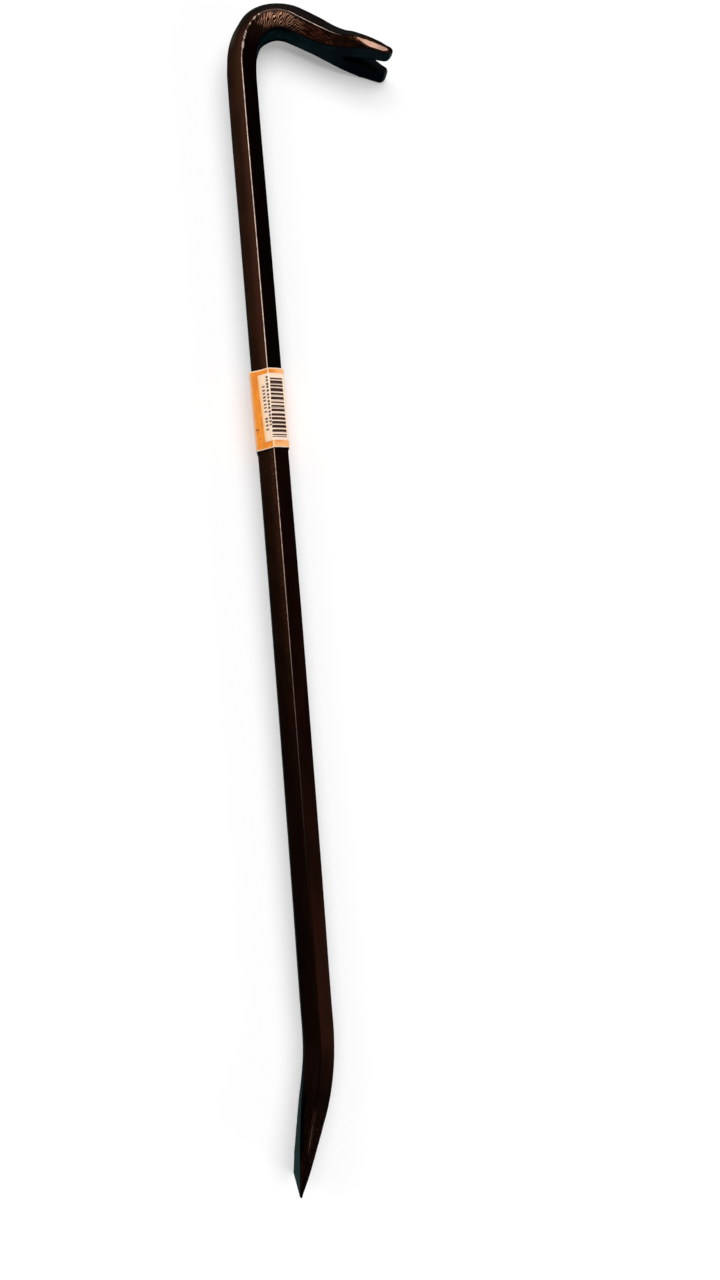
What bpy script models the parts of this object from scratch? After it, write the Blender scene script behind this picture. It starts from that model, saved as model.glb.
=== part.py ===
"""Gooseneck crowbar: one forging of hexagonal bar, with a flat chisel at one end and, past a tight hook, a claw
split for nails at the other. A paper band with a barcode label over it is glued round the shaft.
The bar lies on its side: +Y runs along the shaft to the hook, +X is the way the claw points, +Z is up."""
import math

import bmesh
import bpy
import numpy as np

# Stock
ACROSS_FLATS = 0.0150
OVERALL_LENGTH = 0.610
EDGE_BREAK = 0.00035  # width taken off each edge between two flats
RIDGE_BREAK = 0.00025  # height taken off the upper and lower ridges, which wear flat first

# Chisel end
CHISEL_WIDTH = 0.0250
CHISEL_LIP = 0.0011  # thickness left at the blunt tip
BLADE_LENGTH = 0.0420
HEEL_LENGTH = 0.0400  # curved run between the blade and the straight shaft
HEEL_TURN = math.radians(15.5)
TIP_TWIST = math.radians(3.0)

# Hook
NECK_RADIUS_LOW = 0.0370
NECK_TURN_LOW = math.radians(40.0)
NECK_RADIUS_HIGH = 0.0178
NECK_TURN_HIGH = math.radians(77.0)
NECK_TO_CLAW = 0.0200
CLAW_SET_LENGTH = 0.0080  # run over which the claw straightens a little
CLAW_SET = math.radians(6.0)
CLAW_LENGTH = 0.0273

# Claw
CLAW_WIDTH = 0.0236
CLAW_TIP = 0.0040  # thickness of a tine before its nose
CLAW_EDGE = 0.0009  # width of the bevel between the back of the claw and its trimmed sides
CLAW_EDGE_DEPTH = 0.0013  # and its depth
TINE_CORNER = 0.0024  # radius of the outer corners, seen from above the claw
TINE_NOSE = 0.0034  # run over which the inner face curves up to the back at the end of each tine
TINE_LIP = 0.0012  # thickness left at the end of the nose
SLOT_LENGTH = 0.0254
SLOT_ROOT = 0.0024  # width at the closed end
SLOT_MOUTH = 0.0106  # width at the tips before the flare
SLOT_FLARE = 0.0020  # radius of the corners where the slot meets the tips

# Paper
LABEL_LENGTH = 0.0424
LABEL_CENTRE = 0.3880  # distance from the chisel tip along the length
BAND_CLEARANCE = 0.0003
BAND_WALL = 0.00035
BAND_LAP = 0.0050  # width of the glued overlap on a hidden flat
STICKER_CLEARANCE = 0.0003
STICKER_WALL = 0.0002
STICKER_MARGIN = 0.0032  # orange left showing at each end of the sticker
STICKER_START = 0.54  # share of the first flat left orange
STICKER_TAIL = 0.0026  # run onto the third flat
CORNER_STEPS = 3

FLAT_HALF = ACROSS_FLATS / (2 * math.sqrt(3))
RIDGE_HALF = ACROSS_FLATS / math.sqrt(3)
NECK_LOW_LENGTH = NECK_RADIUS_LOW * NECK_TURN_LOW
NECK_LENGTH = NECK_LOW_LENGTH + NECK_RADIUS_HIGH * NECK_TURN_HIGH
HEAD_LENGTH = NECK_LENGTH + NECK_TO_CLAW + CLAW_SET_LENGTH + CLAW_LENGTH
STRAIGHT_HALF = ACROSS_FLATS / 2

# Half thickness and half width of the two flats, and half height of the ridges, at places along each end.
# The chisel is measured from its tip and the head from its tines. Widths before trimming may pass the claw's.
CHISEL_THICKNESS = (
    (0.0, CHISEL_LIP / 2),
    (0.010, 0.0023),
    (0.030, 0.0054),
    (BLADE_LENGTH, 0.0069),
    (0.056, 0.0074),
    (0.072, STRAIGHT_HALF),
)
CHISEL_FLATS = (
    (0.0, CHISEL_WIDTH / 2 - EDGE_BREAK),
    (0.010, 0.0112),
    (0.020, 0.0088),
    (0.030, 0.0068),
    (BLADE_LENGTH, 0.0051),
    (0.054, 0.0045),
    (0.066, FLAT_HALF),
)
CHISEL_RIDGES = (
    (0.0, CHISEL_WIDTH / 2),
    (0.010, 0.0118),
    (0.020, 0.0108),
    (BLADE_LENGTH, 0.0090),
    (0.056, 0.0086),
    (0.066, RIDGE_HALF - RIDGE_BREAK),
)
HEAD_THICKNESS = (
    (0.0, CLAW_TIP / 2),
    (0.0060, 0.0025),
    (0.0120, 0.0029),
    (0.0183, 0.0041),
    (0.0243, 0.0051),
    (0.0303, 0.0058),
    (0.0403, 0.0067),
    (0.0513, 0.0070),
    (0.0593, 0.0069),
    (0.0673, 0.0065),
    (0.0803, 0.0063),
    (0.0933, 0.0074),
    (HEAD_LENGTH, STRAIGHT_HALF),
)
HEAD_INNER_FLAT = (
    (0.0, 0.0130),
    (0.0113, 0.0125),
    (0.0158, 0.0108),
    (0.0213, 0.0092),
    (0.0278, 0.0071),
    (0.0343, 0.0054),
    (0.0413, 0.0045),
    (0.0593, 0.0043),
    (HEAD_LENGTH, FLAT_HALF),
)
HEAD_OUTER_FLAT = (
    (0.0, 0.0130),
    (0.0113, 0.0115),
    (0.0213, 0.0088),
    (0.0278, 0.0068),
    (0.0373, 0.0052),
    (0.0593, 0.0045),
    (HEAD_LENGTH, FLAT_HALF),
)
HEAD_RIDGE = (
    (0.0, 0.0160),
    (0.0123, 0.0155),
    (0.0173, 0.0137),
    (0.0228, 0.0118),
    (0.0288, 0.0099),
    (0.0353, 0.0089),
    (0.0433, RIDGE_HALF - RIDGE_BREAK / 2),
    (HEAD_LENGTH, RIDGE_HALF),
)


def smooth_profile(where, knots):
    """Cubic pieces through the (place, size) knots that never overshoot: the slope at a knot is the harmonic
    mean of the slopes on its two sides, or zero where those differ in sign."""
    place, size = np.array(knots, float).T
    step = np.diff(place)
    rise = np.diff(size) / step
    same = rise[:-1] * rise[1:] > 0
    total = np.where(same, rise[:-1] + rise[1:], 1.0)
    middle = np.where(same, 2 * rise[:-1] * rise[1:] / total, 0.0)
    slope = np.concatenate([[rise[0]], middle, [rise[-1]]])
    where = np.clip(where, place[0], place[-1])
    index = np.clip(np.searchsorted(place, where, side="right") - 1, 0, len(step) - 1)
    gap = step[index]
    t = (where - place[index]) / gap
    start = (1 + 2 * t) * (1 - t) ** 2 * size[index] + t * (1 - t) ** 2 * gap * slope[index]
    end = t * t * (3 - 2 * t) * size[index + 1] - t * t * (1 - t) * gap * slope[index + 1]
    return start + end


def walk(pieces, heading, steps=4000):
    """Places and headings along a chain of arcs, each given as (length, turn). A heading of zero is +Y and a
    positive turn is toward +X."""
    lengths = np.array([length for length, turn in pieces])
    ends = np.concatenate([[0.0], np.cumsum(lengths)])
    turns = np.concatenate([[0.0], np.cumsum([turn for length, turn in pieces])])
    along = np.unique(np.concatenate([np.linspace(0.0, ends[-1], steps), ends]))
    angle = heading + np.interp(along, ends, turns)
    middle = (angle[1:] + angle[:-1]) / 2
    gap = np.diff(along)
    x = np.concatenate([[0.0], np.cumsum(gap * np.sin(middle))])
    y = np.concatenate([[0.0], np.cumsum(gap * np.cos(middle))])
    return along, x, y, angle


def bar_path(shaft):
    """The middle line from the chisel tip to the ends of the tines, round the heel and the hook."""
    pieces = [
        (BLADE_LENGTH, 0.0),
        (HEEL_LENGTH, -HEEL_TURN),
        (shaft, 0.0),
        (NECK_LOW_LENGTH, NECK_TURN_LOW),
        (NECK_RADIUS_HIGH * NECK_TURN_HIGH, NECK_TURN_HIGH),
        (NECK_TO_CLAW, 0.0),
        (CLAW_SET_LENGTH, -CLAW_SET),
        (CLAW_LENGTH, 0.0),
    ]
    along, x, y, angle = walk(pieces, HEEL_TURN)
    straight = np.argmin(np.abs(along - BLADE_LENGTH - HEEL_LENGTH))
    return along, x - x[straight], y, angle


def shaft_length():
    """The straight run that makes the whole bar as long as it should be, from the tip to the back of the hook."""
    along, x, y, angle = bar_path(0.1)
    reach = along[-1] - along
    back = y + smooth_profile(reach, HEAD_THICKNESS) * np.sin(angle)
    return 0.1 + OVERALL_LENGTH - back[reach < HEAD_LENGTH].max()


def rings_along(total, shaft):
    """Where the cross-sections stand: close together in the bends and the claw, none on the straight shaft."""
    heel = BLADE_LENGTH + HEEL_LENGTH
    neck = heel + shaft
    claw = neck + NECK_LENGTH
    nose = total - TINE_NOSE * (1 - np.sin(np.linspace(0, math.pi / 2, 9)))
    return np.unique(
        np.round(
            np.concatenate(
                [
                    np.linspace(0.0, BLADE_LENGTH, 15),
                    np.linspace(BLADE_LENGTH, heel, 15),
                    np.linspace(neck, claw, 44),
                    np.linspace(claw, total - TINE_NOSE, 42),
                    nose,
                ]
            ),
            7,
        )
    )


def broken_corner(before, corner, after, size):
    """Two points in place of a corner, each this far from it toward its neighbour, or a third of the way."""
    points = []
    for other in (before, after):
        gap = other - corner
        reach = np.linalg.norm(gap, axis=1, keepdims=True)
        points.append(corner + gap * np.minimum(size / np.maximum(reach, 1e-9), 0.3))
    return points


def half_section(along, total):
    """Half of the cross-section at each ring, as six corners from the back flat over the ridge to the inner
    flat. The first number of a corner is its distance from the middle line toward the inside of the hook, the
    second its height. Trimming at the claw's width turns the ridge there into a flat side."""
    reach = total - along
    chisel = along < total / 2
    thick = np.where(
        chisel, smooth_profile(along, CHISEL_THICKNESS), smooth_profile(reach, HEAD_THICKNESS)
    )
    inner = np.where(chisel, smooth_profile(along, CHISEL_FLATS), smooth_profile(reach, HEAD_INNER_FLAT))
    outer = np.where(chisel, smooth_profile(along, CHISEL_FLATS), smooth_profile(reach, HEAD_OUTER_FLAT))
    ridge = np.where(chisel, smooth_profile(along, CHISEL_RIDGES), smooth_profile(reach, HEAD_RIDGE))
    past_corner = np.clip(1 - reach / TINE_CORNER, 0, 1)
    trimmed = CLAW_WIDTH / 2 - TINE_CORNER * (1 - np.sqrt(1 - past_corner**2))
    side = np.where(chisel, ridge, np.minimum(ridge - RIDGE_BREAK, trimmed))
    inner = np.minimum(inner, side - EDGE_BREAK)
    outer = np.minimum(outer, side - np.where(chisel, EDGE_BREAK, CLAW_EDGE))
    past_nose = np.clip(1 - reach / TINE_NOSE, 0, 1)
    inward = thick - (2 * thick - TINE_LIP) * (1 - np.sqrt(1 - past_nose**2))
    worn = np.minimum(math.sqrt(3) * RIDGE_BREAK, 0.6 * thick)
    cut_in = np.where(chisel, 0.0, thick * (ridge - side) / np.maximum(ridge - inner, 1e-6))
    cut_out = np.where(chisel, 0.0, thick * (ridge - side) / np.maximum(ridge - outer, 1e-6))
    claw_back = thick - np.where(cut_out > 0.0012, CLAW_EDGE_DEPTH, 0.0)
    cut_out = np.clip(cut_out, worn, np.maximum(claw_back, 0.3 * thick))
    cut_in = np.minimum(np.clip(cut_in, worn, thick), inward - 0.3 * EDGE_BREAK)
    cut_out = np.minimum(np.maximum(cut_out, EDGE_BREAK - cut_in), thick - EDGE_BREAK)
    back = np.stack([-thick, outer], axis=1)
    upper_back = np.stack([-cut_out, side], axis=1)
    upper_in = np.stack([cut_in, side], axis=1)
    front = np.stack([inward, inner], axis=1)
    flip = np.array([1.0, -1.0])
    back_pair = broken_corner(back * flip, back, upper_back, EDGE_BREAK)
    front_pair = broken_corner(upper_in, front, front * flip, EDGE_BREAK)
    return np.stack([*back_pair, upper_back, upper_in, *front_pair], axis=1)


def loft(name, rings, material, caps=True):
    """A closed skin over a stack of rings, each an array of points of the same count."""
    rings = np.asarray(rings, float)
    count, corners = rings.shape[:2]
    number = np.arange(count * corners).reshape(count, corners)
    beside = np.roll(number, -1, axis=1)
    quads = np.stack([number[:-1], beside[:-1], beside[1:], number[1:]], axis=-1).reshape(-1, 4)
    faces = [tuple(int(i) for i in quad) for quad in quads]
    if caps:
        faces.append(tuple(int(i) for i in number[0][::-1]))
        faces.append(tuple(int(i) for i in number[-1]))
    return mesh_object(name, rings.reshape(-1, 3), faces, material)


def mesh_object(name, points, faces, material):
    mesh = bpy.data.meshes.new(name)
    mesh.from_pydata([tuple(point) for point in points], [], faces)
    work = bmesh.new()
    work.from_mesh(mesh)
    bmesh.ops.recalc_face_normals(work, faces=work.faces)
    work.to_mesh(mesh)
    work.free()
    mesh.materials.append(material)
    mesh.shade_smooth()
    mesh.set_sharp_from_angle(angle=math.radians(18))
    part = bpy.data.objects.new(name, mesh)
    bpy.context.scene.collection.objects.link(part)
    return part


def plain_material(name, colour, roughness, metallic=0.0):
    material = bpy.data.materials.new(name)
    material.use_nodes = True
    surface = material.node_tree.nodes["Principled BSDF"]
    surface.inputs["Base Color"].default_value = (*colour, 1.0)
    surface.inputs["Roughness"].default_value = roughness
    surface.inputs["Metallic"].default_value = metallic
    return material


def build_bar(material):
    """The forging, lofted from tip to tines, with the nail slot cut out of the claw."""
    shaft = shaft_length()
    path, x, y, angle = bar_path(shaft)
    total = path[-1]
    along = rings_along(total, shaft)
    half = half_section(along, total)
    mirrored = half[:, ::-1] * np.array([1.0, -1.0])
    section = np.concatenate([half, mirrored], axis=1)
    twist = TIP_TWIST * np.clip(1 - along / BLADE_LENGTH, 0, 1)
    turn = np.stack([np.cos(twist), np.sin(twist)], axis=1)
    inward = section[..., 0] * turn[:, None, 0] + section[..., 1] * turn[:, None, 1]
    height = -section[..., 0] * turn[:, None, 1] + section[..., 1] * turn[:, None, 0]
    heading = np.interp(along, path, angle)
    middle_x = np.interp(along, path, x)
    middle_y = np.interp(along, path, y)
    rings = np.stack(
        [
            middle_x[:, None] + inward * np.cos(heading)[:, None],
            middle_y[:, None] - inward * np.sin(heading)[:, None],
            height,
        ],
        axis=-1,
    )
    bar = loft("forged_bar", rings, material)
    tip = np.array([x[-1], y[-1]])
    cutter = slot_cutter(tip, angle[-1], material)
    cut = bar.modifiers.new("nail slot", "BOOLEAN")
    cut.operation = "DIFFERENCE"
    cut.solver = "EXACT"
    cut.object = cutter
    return bar


def slot_cutter(tip, heading, material):
    """The nail slot: a V with a round root, whose sides flare into rounded corners at the ends of the tines."""
    root = SLOT_ROOT / 2
    spread = math.atan2((SLOT_MOUTH - SLOT_ROOT) / 2, SLOT_LENGTH - root)
    back = -(SLOT_LENGTH - root)
    turn = np.linspace(math.pi, math.pi / 2 + spread, 6)
    outline = [(back + root * math.cos(a), root * math.sin(a)) for a in turn]
    side = np.array([math.cos(spread), math.sin(spread)])
    out = np.array([-math.sin(spread), math.cos(spread)])
    start = np.array(outline[-1])
    run = (-SLOT_FLARE - start[0]) / side[0]
    centre = start + side * run + out * SLOT_FLARE
    for a in np.linspace(0, math.pi / 2 - spread, 6):
        outline.append(tuple(centre - out * SLOT_FLARE * math.cos(a) + side * SLOT_FLARE * math.sin(a)))
    outline.append((0.004, outline[-1][1]))
    outline = outline + [(along, -across) for along, across in outline[:0:-1]]
    forward = np.array([math.sin(heading), math.cos(heading)])
    inward = np.array([math.cos(heading), -math.sin(heading)])
    rings = []
    for depth in (-0.02, 0.02):
        rings.append([(*(tip + forward * along + inward * depth), across) for along, across in outline])
    cutter = loft("nail_slot_cutter", rings, material)
    cutter.hide_render = True
    cutter.display_type = "WIRE"
    return cutter


def hex_corner(radius, index):
    """A corner of a hexagon that stands on its ridge, counted from the inner upper one toward the upper ridge."""
    angle = math.radians(30 + 60 * index)
    return np.array([radius * math.cos(angle), radius * math.sin(angle)])


def wrapped(distance, start, end):
    """Points of a strip laid round the bar at this distance off its flats. Places along the strip are counted
    in flats from the inner upper corner toward the upper ridge, and its corners are softly rounded."""
    radius = 2 * (STRAIGHT_HALF + distance) / math.sqrt(3)
    soft = 0.0006 + distance
    places = [start, *range(math.floor(start) + 1, math.ceil(end)), end]
    points = []
    for place in places:
        low = math.floor(place)
        if abs(place - low) > 1e-9:
            share = place - low
            points.append(hex_corner(radius, low) * (1 - share) + hex_corner(radius, low + 1) * share)
            continue
        corner = hex_corner(radius, low)
        before = hex_corner(radius, low - 1) - corner
        after = hex_corner(radius, low + 1) - corner
        centre = corner * (1 - soft / (STRAIGHT_HALF + distance))
        first = math.atan2(*(corner + before / np.linalg.norm(before) * soft / math.sqrt(3) - centre)[::-1])
        last = math.atan2(*(corner + after / np.linalg.norm(after) * soft / math.sqrt(3) - centre)[::-1])
        swing = (last - first + math.pi) % (2 * math.pi) - math.pi
        for step in range(CORNER_STEPS + 1):
            angle = first + swing * step / CORNER_STEPS
            points.append(centre + soft * np.array([math.cos(angle), math.sin(angle)]))
    return np.array(points)


def tube_along(name, outline, low, high, material):
    rings = [[(x, y, z) for x, z in outline] for y in (low, high)]
    return loft(name, rings, material)


def build_band(material):
    """The orange paper, wrapped once round the shaft, its end glued over its start on a hidden flat."""
    low = LABEL_CENTRE - LABEL_LENGTH / 2
    high = LABEL_CENTRE + LABEL_LENGTH / 2
    lap = BAND_LAP / (2 * FLAT_HALF)
    start = 4.5 - lap / 2
    end = start + 6
    inside = wrapped(BAND_CLEARANCE, start, end)
    outside = wrapped(BAND_CLEARANCE + BAND_WALL, start, end)
    lapped = wrapped(BAND_CLEARANCE + 2 * BAND_WALL, start, start + lap)
    after = wrapped(BAND_CLEARANCE + BAND_WALL, start + lap, end)
    ring = np.concatenate([lapped, after[:-1]])
    back = inside[:-1]
    return ring_tube("label_band", ring, back, low, high, material)


def ring_tube(name, outside, inside, low, high, material):
    """A closed tube between an outer and an inner outline, with a flat ring of faces at each end."""
    rings = []
    points = []
    for outline in (outside, inside):
        for y in (low, high):
            rings.append(np.arange(len(points), len(points) + len(outline)))
            points += [(x, y, z) for x, z in outline]
    out_low, out_high, in_low, in_high = rings
    faces = []
    for first, second in ((out_low, out_high), (in_high, in_low)):
        for a, b, c, d in zip(first, np.roll(first, -1), np.roll(second, -1), second):
            faces.append((int(a), int(b), int(c), int(d)))
    work = bmesh.new()
    made = [work.verts.new(point) for point in points]
    for face in faces:
        work.faces.new([made[i] for i in face])
    for outer, inner in ((out_low, in_low), (out_high, in_high)):
        edges = set()
        for ring in (outer, inner):
            for a, b in zip(ring, np.roll(ring, -1)):
                edges.add(work.edges.get((made[int(a)], made[int(b)])))
        bmesh.ops.triangle_fill(work, use_beauty=True, use_dissolve=False, edges=list(edges))
    faces = [tuple(vert.index for vert in face.verts) for face in indexed(work)]
    work.free()
    return mesh_object(name, points, faces, material)


def indexed(work):
    work.verts.index_update()
    return list(work.faces)


def build_sticker(material):
    """The white label, laid over the band from the back upper flat across the ridge and the inner edge."""
    low = LABEL_CENTRE - LABEL_LENGTH / 2 + STICKER_MARGIN
    high = LABEL_CENTRE + LABEL_LENGTH / 2 - STICKER_MARGIN
    under = BAND_CLEARANCE + BAND_WALL + STICKER_CLEARANCE
    start = -STICKER_TAIL / (2 * FLAT_HALF)
    end = 2 - STICKER_START
    inside = wrapped(under, start, end)
    outside = wrapped(under + STICKER_WALL, start, end)
    return tube_along("barcode_label", np.concatenate([outside, inside[::-1]]), low, high, material)


def place_on_floor(parts):
    """Moves everything so that the box round it stands on the floor, centred on the origin."""
    bpy.context.view_layer.update()
    corners = np.array([vertex.co for part in parts for vertex in part.data.vertices])
    low = corners.min(axis=0)
    high = corners.max(axis=0)
    shift = -np.array([(low[0] + high[0]) / 2, (low[1] + high[1]) / 2, low[2]])
    for part in bpy.data.objects:
        moved = np.array([vertex.co for vertex in part.data.vertices]) + shift
        part.data.vertices.foreach_set("co", moved.ravel())
        part.data.update()


for old in list(bpy.data.objects):
    bpy.data.objects.remove(old, do_unlink=True)

steel = plain_material("black lacquered steel", (0.018, 0.016, 0.016), 0.38, 0.6)
orange = plain_material("orange printed paper", (0.85, 0.30, 0.03), 0.5)
white = plain_material("cream printed paper", (0.88, 0.78, 0.62), 0.5)

place_on_floor([build_bar(steel), build_band(orange), build_sticker(white)])
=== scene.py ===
"""A gooseneck crowbar: a black lacquered forging with a claw split for nails and a drawn chisel, and round
its shaft an orange paper band with a bar code label. Lengths are metres unless a name says otherwise."""
import math

import bpy
import numpy as np
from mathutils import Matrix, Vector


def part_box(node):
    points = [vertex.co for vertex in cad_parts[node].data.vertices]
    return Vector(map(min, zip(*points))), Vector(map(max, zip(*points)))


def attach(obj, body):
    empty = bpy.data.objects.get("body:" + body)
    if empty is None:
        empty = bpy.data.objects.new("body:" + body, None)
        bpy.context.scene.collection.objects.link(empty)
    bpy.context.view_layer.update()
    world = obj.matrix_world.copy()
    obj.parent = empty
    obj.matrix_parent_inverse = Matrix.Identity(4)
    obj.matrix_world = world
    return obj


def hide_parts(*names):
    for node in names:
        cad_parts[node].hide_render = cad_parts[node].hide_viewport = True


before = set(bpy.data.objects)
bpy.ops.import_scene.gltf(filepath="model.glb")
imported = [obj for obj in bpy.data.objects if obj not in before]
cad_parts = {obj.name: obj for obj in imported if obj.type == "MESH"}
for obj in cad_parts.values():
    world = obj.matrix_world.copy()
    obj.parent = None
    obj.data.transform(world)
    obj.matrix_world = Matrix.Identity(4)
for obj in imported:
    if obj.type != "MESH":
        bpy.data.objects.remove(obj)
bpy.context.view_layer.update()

scene = bpy.context.scene

# The camera stands half a metre above the bar, a little to the left of its shaft, and looks almost straight
# down with the hook at the top of the picture. Its lens shows the whole bar in a tall frame.
PICTURE_HEIGHT = 1280
FOCAL_PIXELS = 921.4
CAMERA_PLACE = (-0.07025, -0.06802, 0.48469)
CAMERA_TILT, CAMERA_YAW, CAMERA_ROLL = (math.radians(a) for a in (3.5079, -9.141, -4.9127))

lens = bpy.data.cameras.new("camera")
lens.sensor_width = 36
lens.lens = FOCAL_PIXELS / PICTURE_HEIGHT * lens.sensor_width
lens.clip_start = 0.01
camera = bpy.data.objects.new("camera", lens)
camera.location = CAMERA_PLACE
camera.rotation_mode = "ZXY"
camera.rotation_euler = (CAMERA_TILT, CAMERA_YAW, CAMERA_ROLL)
scene.collection.objects.link(camera)
scene.camera = camera
scene.view_settings.view_transform = "Standard"

# The floor is a wide sheet of pale paper under soft studio light. What little light it lacks to look white is
# added for the eye and for what gloss mirrors, so the bar's shadow still falls on it.
FLOOR_HALF = 30.0
FLOOR_COLOUR = (0.74, 0.74, 0.74)
FLOOR_LIFT = (0.27, 0.27, 0.27)
WORLD_COLOUR = (0.06, 0.06, 0.06)


def fill(node, inputs):
    """Gives a node's sockets their values, or the wires that lead to them."""
    for name, value in inputs.items():
        socket = node.inputs[name]
        if isinstance(value, Wire):
            value.tree.links.new(value.socket, socket)
        elif isinstance(value, tuple) and socket.type == "RGBA":
            socket.default_value = (*value, 1.0)
        else:
            socket.default_value = value


class Wire:
    """One output in a material's nodes. Arithmetic on it adds the Math node that does the same."""

    def __init__(self, tree, socket=None):
        self.tree = tree
        self.socket = socket

    def node(self, kind, settings=None, inputs=None, output=0):
        """Adds a node, sets it up, fills its sockets and gives one of its outputs."""
        made = self.tree.nodes.new(kind)
        for name, value in (settings or {}).items():
            setattr(made, name, value)
        fill(made, inputs or {})
        return Wire(self.tree, made.outputs[output])

    def maths(self, operation, *terms):
        return self.node("ShaderNodeMath", {"operation": operation}, dict(enumerate(terms)))

    def __add__(self, other):
        return self.maths("ADD", self, other)

    def __sub__(self, other):
        return self.maths("SUBTRACT", self, other)

    def __rsub__(self, other):
        return self.maths("SUBTRACT", other, self)

    def __mul__(self, other):
        return self.maths("MULTIPLY", self, other)

    def __truediv__(self, other):
        return self.maths("DIVIDE", self, other)

    __radd__ = __add__
    __rmul__ = __mul__

    def most(self, other):
        return self.maths("MAXIMUM", self, other)

    def least(self, other):
        return self.maths("MINIMUM", self, other)

    def size(self):
        return self.maths("ABSOLUTE", self)

    def rise(self, low, high):
        """0 at low, 1 at high and a soft step between them, whichever is the greater."""
        ends = {"Value": self, "From Min": low, "From Max": high}
        return self.node("ShaderNodeMapRange", {"interpolation_type": "SMOOTHSTEP"}, ends)

    def band(self, low, high, soft):
        """1 between low and high, with soft ends that lie inside them."""
        return self.rise(low, low + soft) * self.rise(high, high - soft)

    def mixed(self, first, second):
        """The first colour where this is 0 and the second where it is 1."""
        inputs = {0: self, 6: first, 7: second}
        return self.node("ShaderNodeMix", {"data_type": "RGBA"}, inputs, output=2)

    def scaled(self, *scales):
        """A place with each of its three directions multiplied by a number."""
        return self.node("ShaderNodeVectorMath", {"operation": "MULTIPLY"}, {0: self, 1: scales})

    def cloud(self, detail=2.0, rough=0.5, bend=0.0):
        """Soft noise from 0 to 1 at a place that is already scaled to the size of the pattern."""
        inputs = {"Vector": self, "Scale": 1.0, "Detail": detail, "Roughness": rough, "Distortion": bend}
        return self.node("ShaderNodeTexNoise", {}, inputs)

    def told(self, name):
        """The place or numbers that a piece's points keep under a name."""
        return self.node("ShaderNodeAttribute", {"attribute_name": name}, output="Vector")

    def parts(self, axes):
        """The chosen directions of a place, each as a number."""
        return [self.node("ShaderNodeSeparateXYZ", {}, {0: self}, output=axis) for axis in axes]

    def bump(self, strength, depth):
        """The normals of a surface that stands up by this height times the depth."""
        inputs = {"Strength": strength, "Distance": depth, "Height": self}
        return self.node("ShaderNodeBump", {}, inputs)


def plain_surface(name):
    """A new material and the first wire in it, with a Principled shader that finish_surface fills in."""
    material = bpy.data.materials.new(name)
    material.use_nodes = True
    return material, Wire(material.node_tree)


def finish_surface(material, inputs):
    """Gives the material's Principled shader its values and wires."""
    fill(material.node_tree.nodes["Principled BSDF"], inputs)


def new_piece(name, points, faces, material):
    """An object with its place in its mesh, smooth shaded, from arrays of points and lists of corners."""
    mesh = bpy.data.meshes.new(name)
    mesh.from_pydata(points.tolist(), [], faces)
    mesh.materials.append(material)
    mesh.shade_smooth()
    piece = bpy.data.objects.new(name, mesh)
    scene.collection.objects.link(piece)
    return piece


floor_paper, ink = plain_surface("pale floor paper")
LIFTED_RAYS = ("Is Camera Ray", "Is Glossy Ray", "Is Transmission Ray")
direct, mirrored, through = (ink.node("ShaderNodeLightPath", output=ray) for ray in LIFTED_RAYS)
seen = direct.most(mirrored).most(through)
finish_surface(
    floor_paper,
    {
        "Base Color": FLOOR_COLOUR,
        "Roughness": 0.9,
        "Specular IOR Level": 0.0,
        "Emission Color": seen.mixed((0.0, 0.0, 0.0), FLOOR_LIFT),
        "Emission Strength": 1.0,
    },
)
floor_corners = np.array([(-1, -1, 0), (1, -1, 0), (1, 1, 0), (-1, 1, 0)]) * FLOOR_HALF
floor = new_piece("floor", floor_corners, [(0, 1, 2, 3)], floor_paper)

# Three soft lamps, each as wide as a studio tent's panel: one overhead, one low at the upper left, whose
# reflection runs down the left flank of the bar, and one low at the lower right, for the right flank.
LAMPS = (  # name, the way to it, its width in degrees, its strength
    ("overhead panel", (0.10, 0.25, 1.0), 66, 2.65),
    ("upper left panel", (-0.70, 0.62, 0.42), 44, 0.75),
    ("lower right panel", (0.85, -0.50, 0.26), 32, 0.85),
)
for name, toward, wide, strength in LAMPS:
    lamp = bpy.data.lights.new(name, "SUN")
    lamp.angle = math.radians(wide)
    lamp.energy = strength
    panel = bpy.data.objects.new(name, lamp)
    x, y, z = toward
    panel.rotation_euler = (0.0, math.atan2(math.hypot(x, y), z), math.atan2(y, x))
    panel.location = toward
    scene.collection.objects.link(panel)

world = bpy.data.worlds.new("studio")
world.use_nodes = True
world.node_tree.nodes["Background"].inputs["Color"].default_value = (*WORLD_COLOUR, 1.0)
scene.world = world

# The bar is one forging of hexagonal stock, black lacquered. Its chisel was drawn out hot, its neck bent, and
# its claw flattened, slit for nails and ground along the sides. The lacquer has rubbed through on the ridges.
ACROSS_FLATS = 0.0150
OVERALL_LENGTH = 0.610
LABEL_CENTRE = 0.3880
EDGE_ROUND, BACK_ROUND, CLAW_ROUND = 0.00045, 0.0009, 0.00075
RIDGE_BREAK = 0.00025
CHISEL_WIDTH, CHISEL_LIP = 0.0250, 0.0011
BLADE_LENGTH, HEEL_LENGTH = 0.0420, 0.0400
HEEL_TURN, TIP_TWIST = math.radians(15.5), math.radians(3.0)
NECK_RADIUS_LOW, NECK_TURN_LOW = 0.0370, math.radians(40.0)
NECK_RADIUS_HIGH, NECK_TURN_HIGH = 0.0178, math.radians(77.0)
NECK_TO_CLAW, CLAW_SET_LENGTH, CLAW_SET = 0.0200, 0.0080, math.radians(6.0)
CLAW_LENGTH, CLAW_WIDTH, CLAW_TIP = 0.0273, 0.0243, 0.0040
CLAW_EDGE, CLAW_EDGE_DEPTH = 0.0009, 0.0013
TINE_CORNER, TINE_NOSE, TINE_LIP = 0.0024, 0.0034, 0.0012
SLOT_LENGTH, SLOT_ROOT, SLOT_MOUTH, SLOT_FLARE = 0.0254, 0.0024, 0.0106, 0.0020
SLOT_BEVEL, SLOT_BEVEL_RUN = 0.0010, 0.0120
SLOT_ROUND, END_ROUND = 0.00055, 0.00032
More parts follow.
